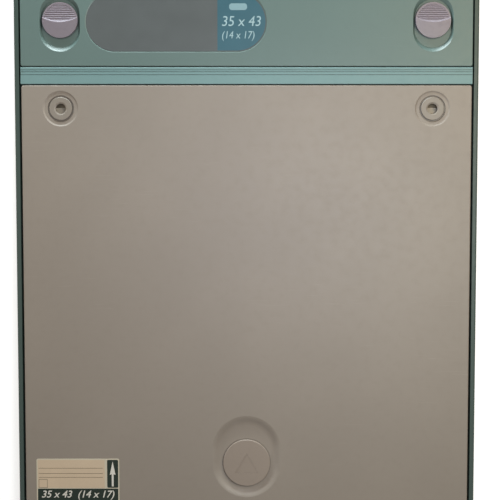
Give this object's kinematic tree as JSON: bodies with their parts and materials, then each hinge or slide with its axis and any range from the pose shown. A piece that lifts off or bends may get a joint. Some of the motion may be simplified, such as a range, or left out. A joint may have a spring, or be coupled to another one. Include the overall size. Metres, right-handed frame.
{
  "type": "x-ray imaging plate cassette",
  "caption": "Flat light-tight cassette: rim frame with an imaging plate, hinged back, two slide locks with guide bores and a sliding hinge release.",
  "frame": {"origin": "centre of the tube side, on the plane that it lies on", "axes": "+Z out through the hinged back, +Y from the hinge edge to the locked edge, +X to the right when the back is read with the locks at the top"},
  "size_m": [0.384, 0.46, 0.015],
  "materials": {
    "frame_teal": "moulded rim, satin, dark grey green",
    "housing_teal": "moulded, satin, grey green",
    "band_teal": "moulded, satin, lighter grey green",
    "cover_taupe": "moulded, satin, warm grey",
    "collar_taupe": "moulded, warm grey",
    "knob_mauve": "moulded, grey mauve",
    "panel_grey": "carbon fibre laminate under dark grey lacquer",
    "liner_felt": "black fleece",
    "plate_phosphor": "white coated screen",
    "seal_felt": "black felt",
    "steel": "bright steel",
    "bush_bronze": "sintered bronze",
    "inner_aluminium": "bronze anodised sheet",
    "lead": "rolled lead foil",
    "foam": "black open cell foam",
    "plate_film": "printed film, dark grey and blue",
    "label_paper": "coated paper, beige and dark green",
    "guide_plastic": "natural acetal",
    "slide_nylon": "natural nylon"
  },
  "bodies": {
    "frame": {"front_frame": "frame_teal", "front_panel": "panel_grey", "front_liner": "liner_felt", "imaging_plate": "plate_phosphor", "light_seal": "seal_felt", "strike_screws": "steel", "strike_plate_left": "steel", "strike_plate_right": "steel", "hinge_bush_left": "bush_bronze", "hinge_bush_right": "bush_bronze"},
    "lid": {"lid_inner_plate": "inner_aluminium", "lead_foil": "lead", "pressure_foam": "foam", "lock_housing": "housing_teal", "name_plate": "plate_film", "ribbed_band": "band_teal", "back_cover": "cover_taupe", "info_label": "label_paper", "lid_screws": "steel", "release_guides": "guide_plastic", "guide_collar_left": "collar_taupe", "guide_collar_right": "collar_taupe", "collar_clip_left": "steel", "collar_clip_right": "steel", "slide_guides_left": "guide_plastic", "slide_guides_right": "guide_plastic"},
    "left_lock": {"lock_knob_left": "knob_mauve", "lock_slide_left": "slide_nylon", "lock_screw_left": "steel", "lock_spring_left": "steel"},
    "right_lock": {"lock_knob_right": "knob_mauve", "lock_slide_right": "slide_nylon", "lock_screw_right": "steel", "lock_spring_right": "steel"},
    "hinge_release": {"release_knob": "collar_taupe", "release_slide": "steel", "release_screw": "steel", "release_spring": "steel"},
    "left_hinge_rod": {"hinge_rod_left": "steel"},
    "right_hinge_rod": {"hinge_rod_right": "steel"}
  },
  "joints": [
    {"name": "lid_hinge", "type": "hinge", "parent": "frame", "child": "lid", "pos_m": [0, -0.2203, 0.0102], "axis": [1, 0, 0], "range_deg": [0, 100]},
    {"name": "left_lock_slide", "type": "slide", "parent": "lid", "child": "left_lock", "axis": [0, -1, 0], "range_m": [0, 0.0075], "stiffness_N_per_m": 300, "springref_m": -0.012, "deforming": ["lock_spring_left"]},
    {"name": "right_lock_slide", "type": "slide", "parent": "lid", "child": "right_lock", "axis": [0, -1, 0], "range_m": [0, 0.0075], "stiffness_N_per_m": 300, "springref_m": -0.012, "deforming": ["lock_spring_right"]},
    {"name": "hinge_release_slide", "type": "slide", "parent": "lid", "child": "hinge_release", "axis": [0, 1, 0], "range_m": [0, 0.01], "stiffness_N_per_m": 300, "springref_m": -0.012, "deforming": ["release_spring"]},
    {"name": "left_rod_slide", "type": "slide", "parent": "lid", "child": "left_hinge_rod", "axis": [1, 0, 0], "range_m": [0, 0.005]},
    {"name": "right_rod_slide", "type": "slide", "parent": "lid", "child": "right_hinge_rod", "axis": [-1, 0, 0], "range_m": [0, 0.005]}
  ],
  "couplings": [
    {"joint": "left_rod_slide", "follows": "hinge_release_slide", "ratio": 0.5},
    {"joint": "right_rod_slide", "follows": "hinge_release_slide", "ratio": 0.5}
  ]
}
